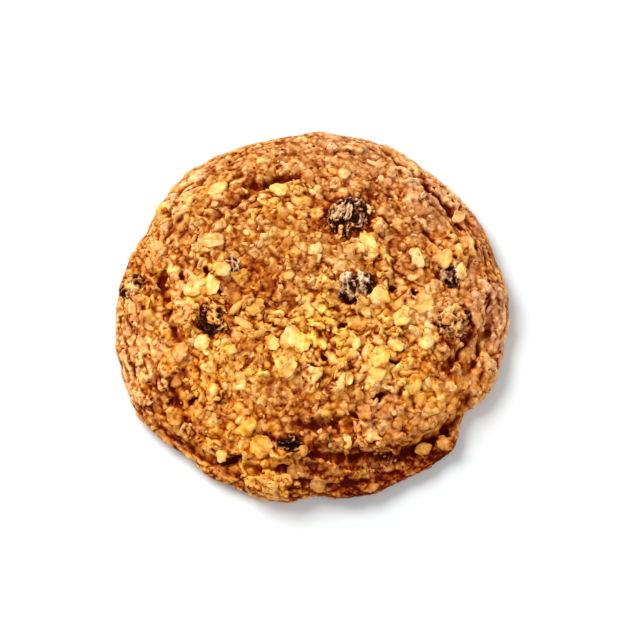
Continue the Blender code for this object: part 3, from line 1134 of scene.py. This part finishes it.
def colour_ramp(tree, value, stops):
    """The colour that a value picks from a row of stops, each a position and a colour."""
    ramp = node(tree, "ShaderNodeValToRGB")
    elements = ramp.color_ramp.elements
    while len(elements) < len(stops):
        elements.new(0.5)
    for element, (position, colour) in zip(elements, stops):
        element.position = position
        element.color = (*colour, 1)
    tree.links.new(value, ramp.inputs["Fac"])
    return ramp.outputs["Color"]


def mixed(tree, blend_type, factor, first, second):
    """The output of a colour Mix node; a colour is a socket or a tuple."""
    made = node(tree, "ShaderNodeMix", data_type="RGBA", blend_type=blend_type)
    tree.links.new(factor, made.inputs["Factor"])
    for label, colour in (("A", first), ("B", second)):
        if isinstance(colour, tuple):
            made.inputs[label].default_value = colour
        else:
            tree.links.new(colour, made.inputs[label])
    return made.outputs["Result"]


def bumped(tree, height, strength, depth):
    """The normal of a surface made rough by a height, with its depth in millimetres."""
    bump = node(tree, "ShaderNodeBump")
    set_inputs(bump, {"Strength": strength, "Distance": depth * MM})
    tree.links.new(height, bump.inputs["Height"])
    return bump.outputs["Normal"]


def new_material(name):
    """A new material, its node tree and its shader."""
    material = bpy.data.materials.new(name)
    material.use_nodes = True
    return material, material.node_tree, material.node_tree.nodes["Principled BSDF"]


def crumb_grain():
    """Fine crumb of baked dough: a height for Bump, and broad and fine colour mottle."""
    outputs = [("Height", "Float"), ("Mottle", "Float"), ("Speckle", "Float")]
    group, entry, leave = new_group("crumb_grain", [("Fineness", 1.0)], outputs)
    place = node(group, "ShaderNodeTexCoord")
    scaled = node(group, "ShaderNodeVectorMath", operation="SCALE")
    cells = node(group, "ShaderNodeTexVoronoi", feature="F1")
    set_inputs(cells, {"Scale": 950.0})
    wire(
        group,
        (place.outputs["Object"], scaled.inputs[0]),
        (entry.outputs["Fineness"], scaled.inputs["Scale"]),
        (scaled.outputs[0], cells.inputs["Vector"]),
        (noise(group, scaled.outputs[0], scale=420.0, detail=3.0), leave.inputs["Mottle"]),
        (noise(group, scaled.outputs[0], scale=1900.0, detail=2.0), leave.inputs["Speckle"]),
    )
    grit = noise(group, scaled.outputs[0], scale=2200.0, detail=4.0)
    wire(group, (maths(group, "SUBTRACT", grit, cells.outputs["Distance"]), leave.inputs["Height"]))
    return group


# Colour of baked dough from its darkest tone to its palest.
TOASTING = (
    (0.00, (0.085, 0.004, 0.0002)),
    (0.20, (0.235, 0.037, 0.0015)),
    (0.40, (0.460, 0.155, 0.0140)),
    (0.58, (0.660, 0.300, 0.0420)),
    (0.80, (0.870, 0.490, 0.0950)),
    (1.00, (0.960, 0.680, 0.2000)),
)

# Colours that the toasted colour is multiplied by.
BROWNED_TINT = (0.96, 0.78, 1.15, 1)
DRY_TINT = (0.95, 1.03, 2.0, 1)
BUTTERY_TINT = (1.05, 0.94, 0.30, 1)


def toasted_colour():
    """Colour of baked oats and dough, from the darkest, painted shade in a crack, to pale on the oats."""
    inputs = [("Tone", 0.5), ("Browned", 0.0), ("Butter", 0.5), ("Mottle", 0.5), ("Speckle", 0.5),
              ("Mottling", 0.5), ("Speckling", 0.3)]
    group, entry, leave = new_group("toasted_colour", inputs, [("Color", "Color")])
    given = entry.outputs
    broad = maths(group, "MULTIPLY", maths(group, "SUBTRACT", given["Mottle"], 0.5), given["Mottling"])
    fine = maths(group, "MULTIPLY", maths(group, "SUBTRACT", given["Speckle"], 0.5), given["Speckling"])
    tone = maths(group, "ADD", maths(group, "ADD", given["Tone"], broad), fine)
    patchy = maths(group, "SUBTRACT", maths(group, "ADD", given["Mottle"], given["Speckle"]), 1.0)
    butter = maths(group, "ADD", given["Butter"], maths(group, "MULTIPLY", patchy, 1.2))
    toasted = colour_ramp(group, tone, TOASTING)
    rimmed = mixed(group, "MULTIPLY", given["Browned"], toasted, BROWNED_TINT)
    tint = mixed(group, "MIX", butter, DRY_TINT, BUTTERY_TINT)
    less_when_pale = spread_over(group, tone, (0.65, 1.0), (1.0, 0.5))
    wire(group, (mixed(group, "MULTIPLY", less_when_pale, rimmed, tint), leave.inputs["Color"]))
    return group


CRUMB_GRAIN = crumb_grain()
TOASTED_COLOUR = toasted_colour()


def grain_in(tree, fineness):
    """The outputs of the crumb grain in a material."""
    grain = node(tree, "ShaderNodeGroup", node_tree=CRUMB_GRAIN)
    set_inputs(grain, {"Fineness": fineness})
    return grain.outputs


def baked_material(name, fineness, mottling, speckling, roughness, bump_depth):
    """Baked oat dough with a fine crumb, coloured by its tone, browned and butter attributes."""
    material, tree, shader = new_material(name)
    set_inputs(shader, {"Specular IOR Level": 0.03, "Coat Roughness": 0.38})
    grain = grain_in(tree, fineness)
    colour = node(tree, "ShaderNodeGroup", node_tree=TOASTED_COLOUR)
    set_inputs(colour, {"Mottling": mottling, "Speckling": speckling})
    tone = attribute(tree, "tone")
    sheen = spread_over(tree, grain["Mottle"], (0.0, 1.0), (roughness - 0.15, roughness + 0.15))
    wire(
        tree,
        (tone, colour.inputs["Tone"]),
        (attribute(tree, "browned"), colour.inputs["Browned"]),
        (attribute(tree, "butter"), colour.inputs["Butter"]),
        (grain["Mottle"], colour.inputs["Mottle"]),
        (grain["Speckle"], colour.inputs["Speckle"]),
        (colour.outputs["Color"], shader.inputs["Base Color"]),
        (spread_over(tree, tone, (0.35, 0.75), (0.0, 0.6)), shader.inputs["Coat Weight"]),
        (sheen, shader.inputs["Roughness"]),
        (bumped(tree, grain["Height"], strength=0.6, depth=bump_depth), shader.inputs["Normal"]),
    )
    return material


crust.data.materials.clear()
crust.data.materials.append(baked_material(
    "baked_dough", fineness=1.0, mottling=0.35, speckling=0.30, roughness=0.60, bump_depth=0.55))
bpy.data.objects.remove(core)
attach(crust, "root")
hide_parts("dough")


# ---------------------------------------------------------------- whole rolled oats
# Steamed oats rolled flat, 3 to 7 mm long, paler than the dough and cupped as they dried.
# They lie on the crust half sunk in dough, which holds them by the edges.

WHOLE_OAT_RINGS = (0.2, 0.4, 0.6, 0.76, 0.88, 0.96, 1.0)
WHOLE_OAT_SIDES = 30

oat_random = np.random.default_rng(77)
oat_cup = oat_random.normal(0.06, 0.12, len(oat_places))
points, triangles, edge = flake_batch(
    oat_middles, oat_turns, oat_halves, oat_cup,
    broken=0.0, rings=WHOLE_OAT_RINGS, sides=WHOLE_OAT_SIDES, random=oat_random)
oats = new_piece("oat_flakes", new_mesh("oat_flakes", points, triangles))
points, normals = read_points(oats.data)
per_oat = len(points) // len(oat_places)
relief = 0.20 * ripple(points, 2.0, 81) + 0.14 * ripple(points, 0.9, 82)
points += normals * relief[:, None]
tucked = edge ** 2 * np.clip(0.2 + 1.4 * ripple(points, 2.6, 83), 0, 1)
points -= np.repeat(oat_turns[:, 2], per_oat, axis=0) * (0.75 * tucked)[:, None]
write_points(oats.data, under_lid(points))
tone = np.repeat(oat_tones, per_oat) - 0.07 - 0.14 * edge ** 3 + 0.16 * ripple(points, 1.2, 84)
# Painted light: each oat's raised bumps are paler and its dips darker.
tone += 0.5 * relief
# Darker in patches of noise, and darker on the foot as painted shade.
tone -= 0.26 * smooth_step((ripple(points, 2.6, 85) - 0.15) / 0.35) + 0.15 * foot_shade(points)
write_baking(oats.data, tone, 0.6 * baked(points), buttery(points))
oats.data.materials.append(baked_material(
    "rolled_oat", fineness=0.9, mottling=0.3, speckling=0.25, roughness=0.55, bump_depth=0.3))
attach(oats, "root")


# ---------------------------------------------------------------- broken oats
# Snapped corners and halves of rolled oats, 1 to 4 mm long, that came apart as the dough
# was mixed. They stick out of the crust at all angles.

BROKEN_OATS = 300           # before those that would lie on a whole oat are left out
BROKEN_OAT_HALVES = (1.2, 0.9, 0.42)
BROKEN_OAT_RINGS = (0.6, 1.0)
BROKEN_OAT_SIDES = 9


def crust_places(count, random):
    """Places on the finished crust, on its top and sides and clear of raisins and folds."""
    places, facing = surface_places(crust_points, crust_triangles, int(count * 2.6), random)
    keep = (facing[:, 2] > -0.2) & (places[:, 2] > 1.2) & off_raisins(places)
    keep &= (folds_at(places)[1] < 0.5) & (pits_at(places)[1] < 0.3)
    keep &= ripple(places, 6.0, 91) > -0.5 * random.random(len(places)) - 0.1
    keep &= random.random(len(places)) > np.interp(rim_share(places), [0.74, 0.88, 0.94], [0.0, 0.7, 1.0])
    keep = np.flatnonzero(keep)[:count]
    return places[keep], facing[keep]


bit_places, bit_facing = crust_places(BROKEN_OATS, oat_random)
keep = ~on_oats(bit_places, reach=0.8)
bit_places, bit_facing = bit_places[keep], bit_facing[keep]
bit_rim = np.interp(rim_share(bit_places), [0.84, 0.96], [1.0, 0.5])
bit_size = oat_random.lognormal(-0.08, 0.3, len(bit_places)) * (0.6 + 0.4 * bit_rim)
bit_halves = bit_size[:, None] * np.array(BROKEN_OAT_HALVES)
bit_halves = bit_halves * oat_random.uniform(0.8, 1.2, (len(bit_places), 3))
bit_turns = stances(bit_facing, 0.35 * bit_rim, oat_random)
bit_middles = bit_places + bit_facing * (0.05 * bit_rim)[:, None]
bit_cup = oat_random.normal(0.1, 0.2, len(bit_places))
points, triangles, edge = flake_batch(
    bit_middles, bit_turns, bit_halves, bit_cup,
    broken=0.7, rings=BROKEN_OAT_RINGS, sides=BROKEN_OAT_SIDES, random=oat_random)
bits = new_piece("broken_oats", new_mesh("broken_oats", points, triangles))
points, normals = read_points(bits.data)
points += normals * (0.12 * ripple(points, 0.9, 92))[:, None]
write_points(bits.data, under_lid(points))
per_bit = len(points) // len(bit_places)
bit_tones = np.clip(oat_random.normal(0.68, 0.10, len(bit_places)), 0.4, 0.9) + heaped(bit_places, PALER)
# Darker at the snapped edge, and darker on the foot as painted shade.
tone = np.repeat(bit_tones, per_bit) - 0.06 * edge - 0.20 * foot_shade(points)
write_baking(bits.data, tone, baked(points), buttery(points))
bits.data.materials.append(baked_material(
    "broken_oat", fineness=0.9, mottling=0.3, speckling=0.2, roughness=0.58, bump_depth=0.18))
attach(bits, "root")


# ---------------------------------------------------------------- crumbs of dough
# Granules of sugary dough and oat dust, about a millimetre across, baked onto the crust,
# the oats and the raisins' tops.

CRUMBS = 400
RAISIN_SPECKS = 12          # tried on each raisin

crumb_random = np.random.default_rng(314)
crumb_places, crumb_facing = crust_places(CRUMBS, crumb_random)
for node_name in RAISIN_NODES:
    raisin_shape = read_shape(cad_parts[node_name].data)
    speck_places, speck_facing = surface_places(*raisin_shape, RAISIN_SPECKS, crumb_random)
    keep = (speck_facing[:, 2] > 0.1) & (ripple(speck_places, 3.0, 93) > -0.1)
    crumb_places = np.concatenate([crumb_places, speck_places[keep]])
    crumb_facing = np.concatenate([crumb_facing, speck_facing[keep]])
crumb_size = crumb_random.lognormal(-0.75, 0.35, len(crumb_places))
crumb_halves = crumb_size[:, None] * crumb_random.uniform(0.7, 1.5, (len(crumb_places), 3))
crumb_halves[:, 2] *= 0.7
crumb_turns = stances(crumb_facing, lean=0.4, random=crumb_random)
points, triangles = lump_batch(crumb_places, crumb_turns, crumb_halves, detail=2, bulge=0.4, seed=94)
crumbs = new_piece("dough_crumbs", new_mesh("dough_crumbs", under_lid(points), triangles))
per_crumb = len(points) // len(crumb_places)
crumb_tones = np.clip(crumb_random.normal(0.60, 0.10, len(crumb_places)), 0.3, 0.8)
crumb_tones += heaped(crumb_places, PALER)
write_baking(crumbs.data, np.repeat(crumb_tones, per_crumb), baked(points), buttery(points))
crumbs.data.materials.append(baked_material(
    "dough_crumb", fineness=1.2, mottling=0.3, speckling=0.2, roughness=0.6, bump_depth=0.12))
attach(crumbs, "root")


# ---------------------------------------------------------------- raisins
# Dried grapes, 8 to 12 mm long: a thin near-black skin shrunk into sharp folds, glossy on the
# ridges, with dough smeared and baked onto it. Each sits in its own socket in the dough.

RAISIN_VOXEL = 0.2

# How much of each raisin has dough smeared on it, how orange the dough is, and which side
# is bare: its direction in degrees and how much barer it is.
DOUGH_SMEAR = {
    "raisin_back": (0.60, 0.35, -60, 0.05),
    "raisin_centre": (0.65, 0.0, -70, 0.12),
    "raisin_left": (0.66, 0.9, 200, 0.34),
    "raisin_right": (0.72, 0.8, -30, 0.22),
    "raisin_rim": (0.64, 0.8, 0, 0.0),
    "raisin_right_small": (0.38, 0.2, 200, 0.15),
    "raisin_left_small": (0.54, 0.3, -20, 0.25),
    "raisin_front": (0.44, 0.6, 190, 0.15),
}

# Which way each raisin's wrinkles run, in degrees, and how far they are drawn out.
WRINKLES = {
    "raisin_back": (52, 2.2),
    "raisin_centre": (100, 1.3),
    "raisin_left": (-40, 1.8),
    "raisin_right": (70, 1.3),
    "raisin_rim": (60, 1.5),
    "raisin_right_small": (120, 1.5),
    "raisin_left_small": (100, 1.5),
    "raisin_front": (10, 1.8),
}

# Colour of a raisin from bare skin in a fold, darkened as painted shade, to thick dough on top of a ridge,
# lightened as painted light.
RAISIN_COLOURS = (
    (0.00, (0.004, 0.0008, 0.0006)),
    (0.36, (0.026, 0.003, 0.001)),
    (0.46, (0.120, 0.030, 0.013)),
    (0.56, (0.350, 0.185, 0.100)),
    (0.74, (0.600, 0.380, 0.200)),
    (0.95, (0.820, 0.640, 0.400)),
)
BUTTERED_RAISIN_TINT = (1.1, 0.76, 0.30, 1)


def raisin_material():
    """Raisin skin: black and glossy in the folds, brown over them, tan where dough stuck to it; the folds'
    black is partly painted shade, the ridges partly painted light.
    """
    material, tree, shader = new_material("raisin_skin")
    set_inputs(shader, {"Specular IOR Level": 0.14, "Specular Tint": (1.0, 0.50, 0.30, 1)})
    grain = grain_in(tree, fineness=0.8)
    smear_and_fold_shade = attribute(tree, "smear_and_fold_shade")
    speckled = maths(tree, "MULTIPLY", maths(tree, "SUBTRACT", grain["Speckle"], 0.5), 0.7)
    bare = colour_ramp(tree, maths(tree, "ADD", smear_and_fold_shade, speckled), RAISIN_COLOURS)
    buttered = mixed(tree, "MULTIPLY", attribute(tree, "orange"), bare, BUTTERED_RAISIN_TINT)
    wire(
        tree,
        (buttered, shader.inputs["Base Color"]),
        (spread_over(tree, smear_and_fold_shade, (0.3, 0.7), (0.34, 0.7)), shader.inputs["Roughness"]),
        (bumped(tree, grain["Height"], strength=0.5, depth=0.15), shader.inputs["Normal"]),
    )
    return material


RAISIN_SKIN = raisin_material()


def ridged(points, size, seed):
    """Sharp folds with smooth hollows between them, 1 on a fold."""
    return 1 - np.minimum(np.abs(ripple(points, size, seed)) * 1.9, 1)


for number, node_name in enumerate(RAISIN_NODES):
    form = read_shape(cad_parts[node_name].data)
    raisin = fused(new_piece(node_name + "_skin", new_mesh(node_name, *form)), RAISIN_VOXEL)
    points, normals = read_points(raisin.data)
    middle, half = raisin_form(node_name)
    seed = 100 + 10 * number
    heading, drawn_out = WRINKLES[node_name]
    around = stirred(points, 3.0, 1.0, seed) - middle
    along, aside = turned(around[:, 0], around[:, 1], heading)
    bent = np.stack([along / drawn_out, aside, around[:, 2]], axis=1)
    folds = 0.60 * ridged(bent, 2.1, seed + 3) + 0.40 * ridged(bent, 1.1, seed + 4)
    points = reshaped(raisin.data, points + normals * (1.8 * (folds - 0.74))[:, None])[0]
    cover, orange, bare_side, barer = DOUGH_SMEAR[node_name]
    from_middle = (points - middle) / max(half[0], half[1])
    # How much dough covers the skin, with painted shade in the folds and painted light on the ridges.
    smear_and_fold_shade = cover + 0.42 * ripple(points, 2.8, seed + 5) + 0.8 * (folds - 0.66)
    smear_and_fold_shade -= 0.22 * smooth_step((np.hypot(from_middle[:, 0], from_middle[:, 1]) - 0.6) / 0.3)
    smear_and_fold_shade -= barer * turned(from_middle[:, 0], from_middle[:, 1], bare_side)[0]
    write_attribute(raisin.data, "smear_and_fold_shade", smear_and_fold_shade + 0.16 * ripple(points, 0.8, 106))
    write_attribute(raisin.data, "orange", np.clip(orange + 0.8 * ripple(points, 3.5, seed + 7), 0, 1))
    raisin.data.materials.clear()
    raisin.data.materials.append(RAISIN_SKIN)
    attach(raisin, "root")
    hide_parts(node_name)


# ---------------------------------------------------------------- table, light and camera
# A pale matt table under one broad window lamp and a weak lamp opposite, seen from above.

TABLE_HALF = 3000.0
corners = np.array([(-1, -1, 0), (1, -1, 0), (1, 1, 0), (-1, 1, 0)]) * TABLE_HALF
table = new_piece("table", new_mesh("table", corners, np.array([[0, 1, 2], [0, 2, 3]])))
paper, _, paper_shader = new_material("pale_table")
set_inputs(paper_shader, {"Base Color": (0.79, 0.815, 0.82, 1), "Roughness": 0.8})
table.data.materials.append(paper)


def soft_light(name, towards, distance, size, power):
    """A round lamp that shines on the cookie from a direction."""
    lamp = bpy.data.lights.new(name, "AREA")
    lamp.shape = "DISK"
    lamp.size = size
    lamp.energy = power
    way = Vector(towards).normalized()
    lamp_piece = new_piece(name, lamp)
    lamp_piece.location = way * distance
    lamp_piece.rotation_euler = way.to_track_quat("Z", "Y").to_euler()


soft_light("window", (-0.60, 0.50, 0.76), distance=1.4, size=1.15, power=29)
soft_light("fill", (0.6, -0.55, 0.9), distance=1.6, size=1.2, power=9)
world = bpy.data.worlds.new("room")
world.use_nodes = True
set_inputs(world.node_tree.nodes["Background"], {"Color": (1, 1, 1, 1), "Strength": 0.40})
bpy.context.scene.world = world
bpy.context.scene.view_settings.view_transform = "Standard"

CAMERA_LIFT = math.radians(72)
CAMERA_DISTANCE = 1.858
CAMERA_AIM = Vector((0.00235, -0.00124, 0.006))
camera_data = bpy.data.cameras.new("camera")
camera_data.lens = 400
camera_data.sensor_width = 36
camera_data.clip_start = 0.01
camera = new_piece("camera", camera_data)
way = Vector((0, -math.cos(CAMERA_LIFT), math.sin(CAMERA_LIFT)))
camera.location = CAMERA_AIM + way * CAMERA_DISTANCE
camera.rotation_euler = Euler((math.radians(90) - CAMERA_LIFT, 0, 0))
bpy.context.scene.camera = camera
